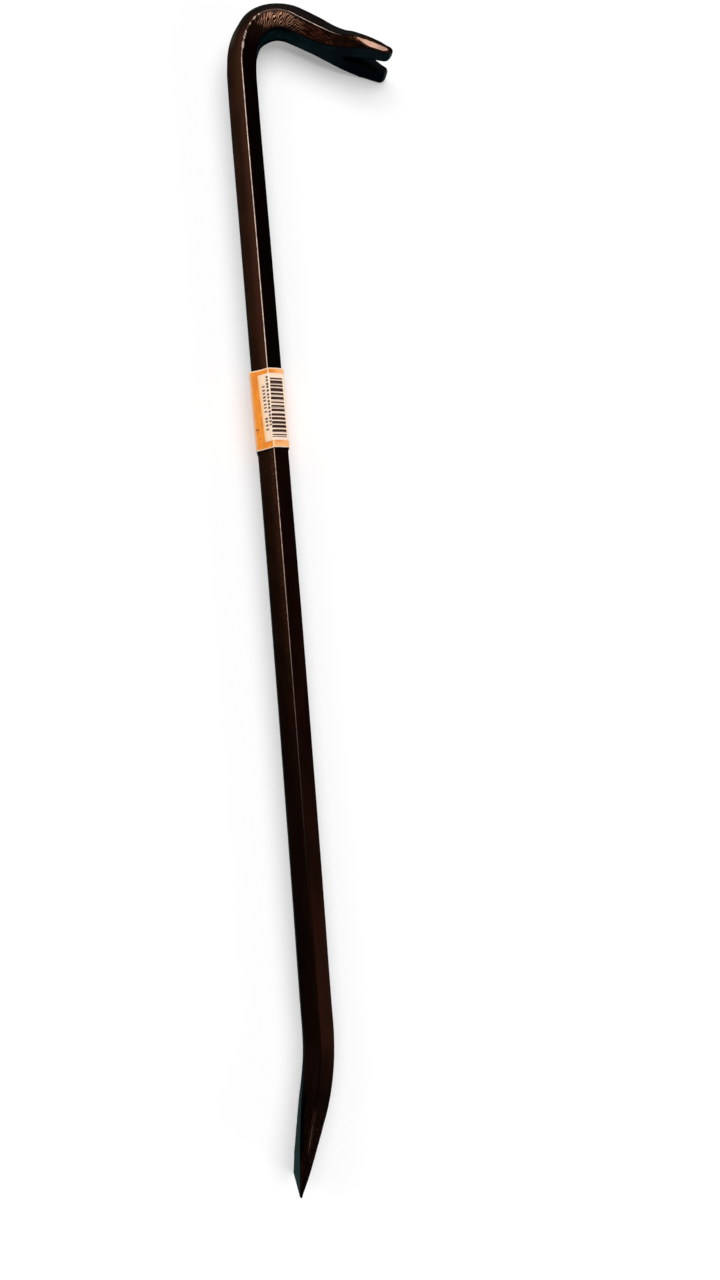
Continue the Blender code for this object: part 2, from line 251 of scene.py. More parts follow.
LEAST_FACE = 0.00035  # how near the section's corners come to each other
LEAST_CUT = 0.0012  # how deep the trimmed side is before its back edge is broken
LEAST_FLANK = 0.0001

FLAT_HALF = ACROSS_FLATS / (2 * math.sqrt(3))
RIDGE_HALF = ACROSS_FLATS / math.sqrt(3)
STRAIGHT_HALF = ACROSS_FLATS / 2
NECK_LOW_LENGTH = NECK_RADIUS_LOW * NECK_TURN_LOW
NECK_LENGTH = NECK_LOW_LENGTH + NECK_RADIUS_HIGH * NECK_TURN_HIGH
HEAD_LENGTH = NECK_LENGTH + NECK_TO_CLAW + CLAW_SET_LENGTH + CLAW_LENGTH

# Half thickness and half width of the two flats, and half height of the ridges. The chisel is measured from
# its tip and the head from its tines.
CHISEL_THICKNESS = (
    (0.0, CHISEL_LIP / 2), (0.010, 0.0026), (0.030, 0.0057), (BLADE_LENGTH, 0.0070), (0.056, 0.0074),
    (0.072, STRAIGHT_HALF),
)
CHISEL_FLATS = (
    (0.0, CHISEL_WIDTH / 2 - LEAST_FACE), (0.010, 0.0112), (0.020, 0.0088), (0.030, 0.0068),
    (BLADE_LENGTH, 0.0051), (0.054, 0.0045), (0.066, FLAT_HALF),
)
CHISEL_RIDGES = (
    (0.0, CHISEL_WIDTH / 2), (0.010, 0.0118), (0.020, 0.0108), (BLADE_LENGTH, 0.0090), (0.056, 0.0086),
    (0.066, RIDGE_HALF - RIDGE_BREAK),
)
HEAD_THICKNESS = (
    (0.0, CLAW_TIP / 2), (0.0060, 0.0025), (0.0120, 0.0029), (0.0183, 0.0041), (0.0243, 0.0051),
    (0.0303, 0.0058), (0.0403, 0.0067), (0.0513, 0.0070), (0.0593, 0.0069), (0.0673, 0.0065),
    (0.0803, 0.0063), (0.0933, 0.0074), (HEAD_LENGTH, STRAIGHT_HALF),
)
HEAD_INNER_FLAT = (
    (0.0, 0.0134), (0.0113, 0.0129), (0.0158, 0.0112), (0.0213, 0.0096), (0.0278, 0.0076), (0.0343, 0.0059),
    (0.0413, 0.0050), (0.0593, 0.0051), (0.0720, 0.0052), (0.0860, 0.0045), (HEAD_LENGTH, FLAT_HALF),
)
HEAD_OUTER_FLAT = (
    (0.0, 0.0130), (0.0113, 0.0115), (0.0213, 0.0088), (0.0278, 0.0068), (0.0373, 0.0052), (0.0593, 0.0045),
    (HEAD_LENGTH, FLAT_HALF),
)
HEAD_RIDGE = (
    (0.0, 0.0160), (0.0123, 0.0155), (0.0173, 0.0137), (0.0228, 0.0118), (0.0288, 0.0099), (0.0353, 0.0089),
    (0.0433, RIDGE_HALF - RIDGE_BREAK / 2), (HEAD_LENGTH, RIDGE_HALF),
)

# What forging did to the steel, measured back from the tines: how much fuller it is on the inside and on the
# back, how far its ridge was drawn toward the back, and how far the shaft bows toward the hook's inside.
INNER_SWELL = (
    (0.0, 0.0), (0.004, 0.0003), (0.012, 0.0004), (0.048, 0.0004), (0.056, 0.0008), (0.068, 0.0011),
    (0.076, 0.0009), (0.084, 0.0001), (0.092, 0.0), (0.100, 0.0006), (0.110, 0.0002), (0.130, 0.0002),
    (0.640, 0.0002), (0.680, 0.0),
)
OUTER_SWELL = (
    (0.0, 0.0), (0.003, 0.0), (0.009, 0.0006), (0.022, 0.0006), (0.029, 0.0001), (0.036, 0.0001),
    (0.044, 0.0004), (0.054, 0.0004), (0.062, 0.0), (0.068, 0.0003), (0.079, 0.0011), (0.086, 0.0005),
    (0.093, 0.0), (0.130, 0.0002), (0.600, 0.0002), (0.620, 0.0),
)
RIDGE_SHIFT = (
    (0.0, 0.0), (0.022, 0.0003), (0.052, 0.0004), (0.060, 0.0), (0.064, -0.00025), (0.072, -0.0008),
    (0.080, -0.00125), (0.084, -0.0011), (0.092, -0.00035), (0.097, 0.0), (0.130, 0.0),
)
BOW = (
    (0.0, 0.0), (0.130, 0.0), (0.200, 0.00028), (0.300, 0.00048), (0.370, 0.00055), (0.440, 0.00040),
    (0.500, 0.00014), (0.540, -0.00008), (0.596, -0.00050), (0.622, 0.0), (0.645, 0.00025), (0.680, 0.0),
)
PATH_CHORDS = 4000
TRIAL_SHAFT = 0.1


def smooth_profile(where, knots):
    """Cubic pieces through the (place, size) knots that never overshoot: the slope at a knot is the harmonic
    mean of the slopes on its two sides, or zero where those differ in sign."""
    place, size = np.array(knots, float).T
    step = np.diff(place)
    rise = np.diff(size) / step
    same = rise[:-1] * rise[1:] > 0
    total = np.where(same, rise[:-1] + rise[1:], 1.0)
    middle = np.where(same, 2 * rise[:-1] * rise[1:] / total, 0.0)
    slope = np.concatenate([[rise[0]], middle, [rise[-1]]])
    where = np.clip(where, place[0], place[-1])
    index = np.clip(np.searchsorted(place, where, side="right") - 1, 0, len(step) - 1)
    gap = step[index]
    t = (where - place[index]) / gap
    start = (1 + 2 * t) * (1 - t) ** 2 * size[index] + t * (1 - t) ** 2 * gap * slope[index]
    end = t * t * (3 - 2 * t) * size[index + 1] - t * t * (1 - t) * gap * slope[index + 1]
    return start + end


def bar_path(shaft):
    """The middle line from the chisel tip to the tines, as distances, places and headings: straight pieces
    and arcs, each a (length, turn), followed in short chords. Heading zero is +Y and a turn is toward +X."""
    pieces = np.array(
        [
            (BLADE_LENGTH, 0.0),
            (HEEL_LENGTH, -HEEL_TURN),
            (shaft, 0.0),
            (NECK_LOW_LENGTH, NECK_TURN_LOW),
            (NECK_LENGTH - NECK_LOW_LENGTH, NECK_TURN_HIGH),
            (NECK_TO_CLAW, 0.0),
            (CLAW_SET_LENGTH, -CLAW_SET),
            (CLAW_LENGTH, 0.0),
        ]
    )
    ends, turns = np.concatenate([[(0.0, 0.0)], np.cumsum(pieces, axis=0)]).T
    along = np.unique(np.concatenate([np.linspace(0.0, ends[-1], PATH_CHORDS), ends]))
    angle = HEEL_TURN + np.interp(along, ends, turns)
    middle = (angle[1:] + angle[:-1]) / 2
    gap = np.diff(along)
    x = np.concatenate([[0.0], np.cumsum(gap * np.sin(middle))])
    y = np.concatenate([[0.0], np.cumsum(gap * np.cos(middle))])
    return along, x - np.interp(BLADE_LENGTH + HEEL_LENGTH, along, x), y, angle


def shaft_length():
    """The straight run that makes the bar as long as it should be, from its tip to the back of the hook."""
    along, _, y, angle = bar_path(TRIAL_SHAFT)
    reach = along[-1] - along
    back = y + smooth_profile(reach, HEAD_THICKNESS) * np.sin(angle)
    return TRIAL_SHAFT + OVERALL_LENGTH - back[reach < HEAD_LENGTH].max()


def rounding(distance, radius):
    """How far a face falls away this near to a rounded edge: a quarter circle of that radius."""
    inside = np.clip(radius - distance, 0, radius)
    return radius - np.sqrt(radius**2 - inside**2)


def slot_shape(forward, height, bevel):
    """Half the width of the nail slot, and the distance from its side, at points given from the tips backward
    as negative numbers: a round root, straight sides that open in a V, and corners that flare on a radius.
    Past the root it is narrower by the bevel."""
    root = SLOT_ROOT / 2
    back = root - SLOT_LENGTH
    spread = math.atan2(SLOT_MOUTH / 2 - root, -back)

    def straight(forward):
        return root / math.cos(spread) + (forward - back) * math.tan(spread)

    flare_forward = -SLOT_FLARE * (1 + math.sin(spread))
    flare_across = straight(-SLOT_FLARE) + SLOT_FLARE * math.cos(spread)
    past_flare = np.maximum(forward - flare_forward, 0)
    flared = flare_across - np.sqrt(np.clip(SLOT_FLARE**2 - past_flare**2, 0, None))
    narrower = bevel * np.clip((forward - back) / SLOT_BEVEL_RUN, 0, 1)
    sides = np.where(forward > -SLOT_FLARE, flared, straight(forward)) - narrower
    round_root = np.sqrt(np.clip(root**2 - (forward - back) ** 2, 0, None))
    in_root = forward < back - root * math.sin(spread)
    half = np.where(in_root, np.where(forward < -SLOT_LENGTH, 0.0, round_root), sides)
    from_root = np.hypot(forward - back, height) - root
    return half, np.where(in_root, from_root, (height - half) * math.cos(spread))


def section_corners(along, total):
    """The upper half of each cross-section as six points, each (distance toward the hook's inside, height):
    the middle of the inner flat, its edge, the worn ridge's two edges, the back's edge and its middle. Where
    the head is wider than its trimmed side, the side cuts both flanks."""
    reach = total - along
    chisel = along < total / 2
    thick, inner, outer, ridge = (
        np.where(chisel, smooth_profile(along, at_chisel), smooth_profile(reach, at_head))
        for at_chisel, at_head in (
            (CHISEL_THICKNESS, HEAD_THICKNESS),
            (CHISEL_FLATS, HEAD_INNER_FLAT),
            (CHISEL_FLATS, HEAD_OUTER_FLAT),
            (CHISEL_RIDGES, HEAD_RIDGE),
        )
    )
    past_corner = np.clip(1 - reach / TINE_CORNER, 0, 1)
    trimmed = CLAW_WIDTH / 2 - TINE_CORNER * (1 - np.sqrt(1 - past_corner**2))
    side = np.where(chisel, ridge, np.minimum(ridge - RIDGE_BREAK, trimmed))
    inner = np.minimum(inner, side - LEAST_FACE)
    outer = np.minimum(outer, side - np.where(chisel, LEAST_FACE, CLAW_EDGE))
    past_nose = np.clip(1 - reach / TINE_NOSE, 0, 1)
    inward = thick - (2 * thick - TINE_LIP) * (1 - np.sqrt(1 - past_nose**2))
    worn = np.minimum(math.sqrt(3) * RIDGE_BREAK, 0.6 * thick)
    cut_in = np.where(chisel, 0.0, thick * (ridge - side) / np.maximum(ridge - inner, 1e-6))
    cut_out = np.where(chisel, 0.0, thick * (ridge - side) / np.maximum(ridge - outer, 1e-6))
    claw_back = thick - np.where(cut_out > LEAST_CUT, CLAW_EDGE_DEPTH, 0.0)
    cut_out = np.clip(cut_out, worn, np.maximum(claw_back, 0.3 * thick))
    cut_in = np.minimum(np.clip(cut_in, worn, thick), inward - LEAST_FLANK)
    cut_out = np.minimum(np.maximum(cut_out, LEAST_FACE - cut_in), thick - LEAST_FACE)
    slot, _ = slot_shape(-reach, 0.0, 0.0)
    back_slot, _ = slot_shape(-reach, 0.0, SLOT_BEVEL)
    inner_pairs = [(inward, slot), (inward, inner), (cut_in, side)]
    outer_pairs = [(-cut_out, side), (-thick, outer), (-thick, back_slot)]
    corners = np.array(inner_pairs + outer_pairs).transpose(2, 0, 1)
    depth = corners[..., 0] / thick[:, None]
    forged = (INNER_SWELL, OUTER_SWELL, RIDGE_SHIFT, BOW)
    swell_in, swell_out, shift, bow = (smooth_profile(reach, knots)[:, None] for knots in forged)
    moved = swell_in * np.clip(depth, 0, 1) - swell_out * np.clip(-depth, 0, 1) + shift * (1 - np.abs(depth))
    corners[..., 0] += moved + bow
    return corners


FACE_STEPS = (10, 30, 4, 14, 8)  # inner flat, the flank beside it, worn ridge, the other flank, back
CROWDING = 1.7  # the power that crowds the points of the flats toward the slot
ROUND_SHARE = 0.42  # of the shorter face beside it, the most that a rounded corner takes
CORNER_SHARES = np.linspace(0, 1, 5)
FACE_POINTS = np.array(FACE_STEPS) - (0, 1, 1, 1, 0)
CORNER_PLACES = np.cumsum(FACE_POINTS[:-1]) + len(CORNER_SHARES) * np.arange(4) + len(CORNER_SHARES) // 2


def rounded_sections(corners, rounds):
    """Many points along each half section. A corner becomes the curve (1-t)^2 A + 2t(1-t) C + t^2 B between
    points A and B short of it on its two sides, and a face is divided evenly, or more closely by the slot."""
    gaps = np.diff(corners, axis=1)
    lengths = np.linalg.norm(gaps, axis=2)
    trims = np.minimum(rounds, ROUND_SHARE * np.minimum(lengths[:, :-1], lengths[:, 1:]))[..., None]
    units = gaps / lengths[..., None]
    before = corners[:, 1:-1] - units[:, :-1] * trims
    after = corners[:, 1:-1] + units[:, 1:] * trims
    starts = np.concatenate([corners[:, :1], after], axis=1)
    ends = np.concatenate([before, corners[:, -1:]], axis=1)
    t = CORNER_SHARES[:, None]
    parts = []
    for face, steps in enumerate(FACE_STEPS):
        share = np.linspace(0, 1, steps + 1)
        if face == 0:
            share = share**CROWDING
        elif face == 4:
            share = 1 - (1 - share) ** CROWDING
        share = share[(face > 0) : len(share) - (face < 4)][:, None]
        parts.append(starts[:, face, None] * (1 - share) + ends[:, face, None] * share)
        if face < 4:
            a, c, b = before[:, face, None], corners[:, face + 1, None], after[:, face, None]
            parts.append((1 - t) ** 2 * a + 2 * t * (1 - t) * c + t * t * b)
    return np.concatenate(parts, axis=1)


LATTICE = np.random.default_rng(7).random((32, 32, 32))


def noise(*place):
    """Smooth noise from -1 to 1: random heights on a unit lattice, joined by cubic steps each way."""
    place = np.stack(np.broadcast_arrays(*place), axis=-1)
    cell = np.floor(place)
    share = place - cell
    share = share * share * (3 - 2 * share)
    total = 0
    for corner in np.ndindex(2, 2, 2):
        index = np.moveaxis((cell + corner).astype(int) % len(LATTICE), -1, 0)
        total = total + LATTICE[tuple(index)] * np.prod(np.where(corner, share, 1 - share), axis=-1)
    return 2 * total - 1


def hump(value, low, high, soft):
    """1 between low and high, falling to 0 over the soft width outside them."""
    t = np.clip(np.minimum(value - low, high - value) / soft + 1, 0, 1)
    return t * t * (3 - 2 * t)


FOLD_GAP, LINE_GAP = 0.0016, 0.0012  # between neighbours, along the bar and round it
FOLD_DEPTH, LINE_DEPTH = 0.00016, 0.00006
WAVE_DEPTH, RIPPLE_DEPTH, MARK_DEPTH = 0.00004, 0.00002, 0.00007
EDGE_CALM = 0.0011  # folds and lines fade out this near to an edge


def uneven(loops, along, total, facts, fade):
    """Moves each point in along its section's normal: broad waves and ripples of the rolled stock, hammer
    marks on the blade and, on the inner flanks, slanting folds on the bend and drawn lines along the arm.
    Both are sine waves whose phase wanders with a noise and which a finer noise breaks up. Nothing moves
    outward, so the bar keeps its size. Also gives each point's height on a fold."""
    reach = (total - along)[:, None]
    along = along[:, None]
    around, near_edge, flank = facts[..., 0], facts[..., 3], facts[..., 4]
    side = loops[..., 1] / 0.012
    tangent = np.roll(loops, -1, axis=1) - np.roll(loops, 1, axis=1)
    tangent /= np.maximum(np.linalg.norm(tangent, axis=2, keepdims=True), 1e-12)
    outward = np.stack([tangent[..., 1], -tangent[..., 0]], axis=-1)
    wave = WAVE_DEPTH * (1 + noise(along / 0.019, around / 0.006, side))
    ripple = RIPPLE_DEPTH * (1 + noise(along / 0.005, around / 0.003, side))
    hammered = 1 + noise(along / 0.0022, around / 0.0020, side)
    marks = MARK_DEPTH * hump(along, 0.0, 0.030, 0.016) * hammered
    inset = flank * np.clip(near_edge / EDGE_CALM, 0, 1)
    bend = hump(reach, 0.058, 0.074, 0.011) * inset
    arm = hump(reach, 0.036, 0.051, 0.012) * inset
    wander = noise(along / 0.0022, around / 0.0022, side)
    broken = noise(along / 0.0009, around / 0.0012, side + 7.0)
    ranks = np.sin(2 * math.pi * ((along - 0.9 * around) / FOLD_GAP + 0.9 * wander))
    folds = np.clip(0.34 + 0.75 * ranks + 0.85 * broken, 0, 1)
    drift = 1.2 * noise(along / 0.0050, around / 0.0020, side)
    drawn = np.sin(2 * math.pi * ((around + 0.15 * along) / LINE_GAP + drift))
    scratched = noise(along / 0.0019, around / 0.0008, side + 3.0)
    lines = np.clip(0.40 + 0.45 * drawn + 0.9 * scratched, 0, 1)
    sunk = wave + ripple + marks + FOLD_DEPTH * (1 - folds) * bend + LINE_DEPTH * (1 - lines) * arm
    return loops - outward * (sunk * fade)[..., None], folds * bend + lines * arm * (1 - bend)


def closed_in(loops, along, total):
    """Pulls the last loops of each end in toward their middle, so that the ends are rounded over."""
    near = np.minimum(along, total - along)
    low, high = loops.min(axis=1, keepdims=True), loops.max(axis=1, keepdims=True)
    share = 1 - rounding(near, END_ROUND)[:, None, None] / np.maximum((high - low) / 2, END_ROUND)
    middle = (low + high) / 2
    return middle + (loops - middle) * share


def on_path(loops, along):
    """Carries section points along the middle line, turned to its heading, with the blade's slight twist."""
    twist = (TIP_TWIST * np.clip(1 - along / BLADE_LENGTH, 0, 1))[:, None]
    inward = loops[..., 0] * np.cos(twist) + loops[..., 1] * np.sin(twist)
    height = loops[..., 1] * np.cos(twist) - loops[..., 0] * np.sin(twist)
    heading = np.interp(along, path, path_angle)[:, None]
    place_x = np.interp(along, path, path_x)[:, None] + inward * np.cos(heading)
    place_y = np.interp(along, path, path_y)[:, None] - inward * np.sin(heading)
    return np.stack([place_x, place_y, height], axis=-1) + ORIGIN


def between_rows(numbers):
    """The quads between neighbouring rows of vertex numbers, each row closed on itself, facing outward."""
    beside = np.roll(numbers, -1, axis=1)
    return np.stack([numbers[:-1], numbers[1:], beside[1:], beside[:-1]], axis=-1).reshape(-1, 4).tolist()


def end_fan(row, middle):
    """The triangles from the sides of a closed row of vertex numbers to the vertex in its middle. They face
    the chisel's way for a row in its own order, and the tines' way for one in reverse."""
    return np.stack([np.full_like(row, middle), row, np.roll(row, -1)], axis=-1).tolist()


band_low, band_high = (np.array(corner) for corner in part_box("label_band"))
ORIGIN = (band_low + band_high) / 2 - np.array([0.0, LABEL_CENTRE, 0.0])

shaft = shaft_length()
path, path_x, path_y, path_angle = bar_path(shaft)
TOTAL = path[-1]
heel_end = BLADE_LENGTH + HEEL_LENGTH
neck_start = heel_end + shaft
neck_end = neck_start + NECK_LENGTH
slot_start = TOTAL - SLOT_LENGTH
quarter = 1 - np.sin(np.linspace(0, math.pi / 2, 7))
SLOT_NEAR = 0.001  # where the bar's sections crowd together before the slot
slot_edge = np.array([0.0008, 0.0005, 0.0003, 0.00015, 0.00005])
TIGHT_BEND = 0.030  # the last run of the neck, with the folds


def rows_of(*pieces):
    """Distances along the bar at which it has a section, in order and without near doubles."""
    return np.unique(np.round(np.concatenate(pieces), 7))


body_along = rows_of(
    END_ROUND * quarter,
    np.linspace(END_ROUND, BLADE_LENGTH, 60),
    np.linspace(BLADE_LENGTH, heel_end, 36),
    np.linspace(heel_end, neck_start, 104),
    np.linspace(neck_start, neck_end - TIGHT_BEND, 40),
    np.linspace(neck_end - TIGHT_BEND, neck_end, 172),
    np.linspace(neck_end, slot_start - SLOT_NEAR, 68),
    slot_start - slot_edge,
    [slot_start],
)
tine_along = rows_of(
    slot_start + SLOT_ROOT / 2 * quarter,
    np.linspace(slot_start + SLOT_ROOT / 2, TOTAL - TINE_NOSE, 44),
    TOTAL - END_ROUND - (TINE_NOSE - END_ROUND) * (1 - np.sin(np.linspace(0, math.pi / 2, 14))),
    TOTAL - END_ROUND * quarter,
)
tine_along = tine_along[tine_along > body_along[-1] + 1e-6]
WALL_SHARES = np.linspace(0, 1, 11)[1:-1]
OFF_RIDGE = -0.005  # the distance to the ridge that points on the slot's wall are given
FAR_FROM_SLOT, FAR = 0.004, 1.0  # past this the slot counts as this far away
FLAT_SOFT = 0.0008  # how softly the flats' blue meets the flanks' brown
CROTCH_EDGE = 0.001  # how far from an edge the crotch counts


def half_loops(along):
    """Half sections with their edges and those of the nail slot rounded, and facts about each point: how far
    round it is, how far past the ridge's inner edge and short of its outer one, how near an edge, and
    whether it lies on the inner flank and on a flat."""
    corners = section_corners(along, TOTAL)
    rounds = np.full((len(along), 4), EDGE_ROUND)
    rounds[:, 3] = np.where(along < heel_end, BACK_ROUND, EDGE_ROUND)
    rounds[:, 2] = np.where(along > TOTAL - CLAW_LENGTH, CLAW_ROUND, EDGE_ROUND)
    points = rounded_sections(corners, rounds)
    places = np.arange(points.shape[1])
    front, back = places < FACE_STEPS[0], places >= points.shape[1] - FACE_STEPS[4]
    forward = (along - TOTAL)[:, None]
    _, from_slot = slot_shape(forward, points[..., 1], SLOT_BEVEL * back)
    from_slot = np.where(forward < -SLOT_LENGTH - FAR_FROM_SLOT, FAR, from_slot)
    fall = rounding(np.maximum(from_slot, 0), SLOT_ROUND)
    points[..., 0] += fall * (back * 1.0 - front * 1.0)
    steps = np.linalg.norm(np.diff(points, axis=1), axis=2)
    around = np.concatenate([np.zeros((len(along), 1)), np.cumsum(steps, axis=1)], axis=1)
    at_corners = [around[:, [place]] for place in CORNER_PLACES]
    past_inner, past_outer = around - at_corners[1], at_corners[2] - around
    to_corner = np.linalg.norm(points[:, :, None] - corners[:, None, 1:5], axis=3).min(axis=2)
    near_edge = np.minimum(to_corner, np.where(front | back, np.maximum(from_slot, 0), FAR))
    flank = np.broadcast_to((places > CORNER_PLACES[0]) & (places < CORNER_PLACES[1]), around.shape)
    on_front = np.clip(0.5 + (at_corners[0] - around) / FLAT_SOFT, 0, 1)
    on_back = np.clip(0.5 + (around - at_corners[3]) / FLAT_SOFT, 0, 1)
    return points, np.stack([around, past_inner, past_outer, near_edge, flank, on_front + on_back], axis=-1)


def assembled(points, facts, walls):
    """Closes half sections into whole ones: one ring round the bar, or a loop round each tine with the slot's
    wall in it. Gives their points and the facts of half_loops about each."""
    mirror = np.array([1.0, -1.0])
    if not walls:
        ring = np.concatenate([points, (points * mirror)[:, -2:0:-1]], axis=1)
        return [(ring, np.concatenate([facts, facts[:, -2:0:-1]], axis=1))]
    share = WALL_SHARES[:, None]
    wall = points[:, -1:] * (1 - share) + points[:, :1] * share
    wall_facts = facts[:, -1:] * (1 - share) + facts[:, :1] * share
    wall_facts[..., 1:3] = OFF_RIDGE
    height = np.linalg.norm(points[:, -1] - points[:, 0], axis=1)[:, None]
    wall_facts[..., 3] = np.minimum(WALL_SHARES, 1 - WALL_SHARES) * height
    upper = [(points, wall), (facts, wall_facts)]
    lower = [(points * mirror, wall * mirror), (facts, wall_facts)]
    return [
        [np.concatenate(pair, axis=1) for pair in upper],
        [np.concatenate([part[:, ::-1] for part in pair], axis=1) for pair in lower],
    ]


def finished(loops, facts, along, fade):
    """Whole sections made uneven and closed in at their end, their points in place, and what is told of each
    point: its facts, its height on a fold and its distance along the bar."""
    loops, fold = uneven(loops, along, TOTAL, facts, fade[:, None])
    loops = closed_in(loops, along, TOTAL)
    points = on_path(loops, along)
    distance = np.broadcast_to(along[:, None], fold.shape)
    told = np.concatenate([facts, fold[..., None], distance[..., None]], axis=-1)
    return loops, points.reshape(-1, 3), told.reshape(-1, told.shape[-1])


body_half = half_loops(body_along)
tine_half = half_loops(tine_along)
count = body_half[0].shape[1]
((body_loops, body_facts),) = assembled(*body_half, walls=False)
fade_body = hump(body_along, 0.0015, slot_start - SLOT_NEAR, 0.0012)
body_loops, points, told = finished(body_loops, body_facts, body_along, fade_body)
point_sets, told_sets = [points], [told]
numbers = np.arange(body_loops.shape[0] * body_loops.shape[1]).reshape(body_loops.shape[:2])
faces = between_rows(numbers)
end_rows = [numbers[0]]

# The crotch between the tines belongs to both: a column of points down the middle of the last whole section.
share = WALL_SHARES[:, None]
crotch = body_loops[-1, count - 1] * (1 - share) + body_loops[-1, 0] * share
crotch_numbers = numbers.size + np.arange(len(WALL_SHARES))
point_sets.append(on_path(crotch[None], body_along[-1:])[0])
crotch_told = [0.0, OFF_RIDGE, OFF_RIDGE, CROTCH_EDGE, 0.0, 1.0, 0.0, slot_start]
told_sets.append(np.tile([crotch_told], (len(WALL_SHARES), 1)))
used = numbers.size + len(WALL_SHARES)
root = numbers[-1]
first_rows = (
    np.concatenate([root[:count], crotch_numbers]),
    np.concatenate([root[count - 1 :], root[:1], crotch_numbers[::-1]]),
)
fade_tine = hump(tine_along, slot_start + 0.003, TOTAL - 0.001, 0.002)
for (loops, facts), first in zip(assembled(*tine_half, walls=True), first_rows):
    loops, points, told = finished(loops, facts, tine_along, fade_tine)
    point_sets.append(points)
    told_sets.append(told)
    rows = used + np.arange(loops.shape[0] * loops.shape[1]).reshape(loops.shape[:2])
    used += rows.size
    faces += between_rows(np.concatenate([first[None], rows]))
    end_rows.append(rows[-1][::-1])

bar_points, told = np.concatenate(point_sets), np.concatenate(told_sets)
for row in end_rows:
    faces += end_fan(row, len(bar_points))
    bar_points = np.concatenate([bar_points, bar_points[row].mean(axis=0, keepdims=True)])
    told = np.concatenate([told, told[row].mean(axis=0, keepdims=True)])
around, past_inner, past_outer, near_edge, flank, flat, fold, distance = told.T

# How bright the rub along the ridge is, at distances in millimetres back from the tines: broken on the arm
# and the bend, even on the neck and the shaft, gone before the heel, and faint again on the blade.
LINE = (
    (0, 0), (28, 0), (35, 0.5), (40, 0.8), (56, 0.7), (60, 0.26), (70, 0.20), (78, 0.11), (86, 0.11),
    (90, 0.25), (100, 0.40), (106, 0.8), (148, 0.85), (178, 0.70), (290, 0.80), (322, 0.60), (350, 0.60),
    (380, 0.42), (430, 0.18), (480, 0.04), (540, 0.0), (639, 0.0), (644, 0.12), (649, 0.20), (653, 0.34),
    (658, 0.36), (661, 0.0),
)
ridge_rub = np.interp((TOTAL - distance) * 1000, *np.array(LINE).T)


def give(piece, name, *parts):
    """Keeps three numbers on each of a piece's points, under a name that its material reads."""
    kept = piece.data.attributes.new(name, "FLOAT_VECTOR", "POINT")
    kept.data.foreach_set("vector", np.stack(parts, axis=-1).astype(np.float32).ravel())


def layered(colour, *coats):
    """The colour with coats over it, one after another, each a cover from 0 to 1 and its own colour."""
    for cover, coat in coats:
        colour = cover.mixed(colour, coat)
    return colour


BLACK = (0.020, 0.0068, 0.0036)
DEEP_BLACK = (0.0085, 0.0040, 0.0022)
PAINTED_SHADE_BLACK = (0.0055, 0.0022, 0.0015)
DULL_BLACK = (0.0020, 0.0009, 0.0007)
LIT_AND_HANDLED_BROWN = (0.040, 0.0140, 0.0078)
BLUE_BLACK = (0.0070, 0.0142, 0.0156)
DEEP_BLUE = (0.0022, 0.0042, 0.0046)
NAVY = (0.0062, 0.0080, 0.0102)
TEAL_GREY = (0.030, 0.050, 0.047)
BROWN = (0.050, 0.016, 0.009)
RED_BROWN = (0.055, 0.014, 0.0075)
ARM_BROWN = (0.045, 0.018, 0.014)
RUBBED = (0.52, 0.255, 0.150)
PAINTED_SHEEN = (0.150, 0.080, 0.058)
OLIVE_RIM_HIGHLIGHT = (0.036, 0.037, 0.026)
OLIVE_BLACK = (0.0175, 0.0090, 0.0036)
MAROON = (0.0125, 0.0024, 0.0022)
RIM_AND_SHADE_BLACK = (0.0008, 0.0011, 0.0013)
END_GREY = (0.048, 0.055, 0.050)
RUST = (0.32, 0.105, 0.040)
BARE = (0.62, 0.46, 0.39)
GROUND, GROUND_PINK = (0.36, 0.215, 0.160), (0.205, 0.126, 0.098)
PATCHES = (  # how far back from the tines, half the length and half the width, in millimetres
    (94.8, 2.1, 0.85), (90.6, 0.55, 0.8), (88.9, 0.5, 0.75), (87.3, 0.5, 0.65), (82.2, 0.8, 0.45),
    (78.2, 1.2, 0.6), (75.0, 0.8, 0.4),
)

lacquer, ink = plain_surface("black lacquered steel")
place = ink.told("place")
along_mm, up_mm = place.parts("YZ")
past_inner_mm, past_outer_mm, near_mm = ink.told("edges").parts("XYZ")
fold_height, line_strength, on_flat = ink.told("rubs").parts("XYZ")
reach_mm = float(TOTAL * 1000) - along_mm
on_ridge = past_inner_mm.least(past_outer_mm)
off_ridge = (past_inner_mm - past_outer_mm) * 0.5
clouds = place.scaled(0.10, 0.035, 0.10).cloud(3.0)
streaks = place.scaled(2.2, 0.05, 2.2).cloud(3.0, 0.6)
flecks = place.scaled(1.6, 1.1, 1.6).cloud(3.0, 0.65)
grain = place.scaled(4.0, 3.2, 4.0).cloud(2.0)
crackle = place.scaled(1.1, 1.3, 1.1).cloud(4.0, 0.6, 1.2)
uneven_wear = place.scaled(0.35, 0.30, 0.35).cloud(2.0)
tint = place.scaled(0.16, 0.035, 0.16).cloud(3.0)
bend = reach_mm.rise(46.0, 58.0) * reach_mm.rise(92.0, 76.0)
arm = reach_mm.rise(20.0, 34.0) * reach_mm.rise(66.0, 50.0)
blade = along_mm.rise(54.0, 36.0)
heel = along_mm.rise(80.0, 56.0)
inner_side = past_inner_mm.rise(0.1, -0.3)
outer_side = past_outer_mm.rise(-5.5, -0.6) * past_outer_mm.rise(0.2, -0.2)

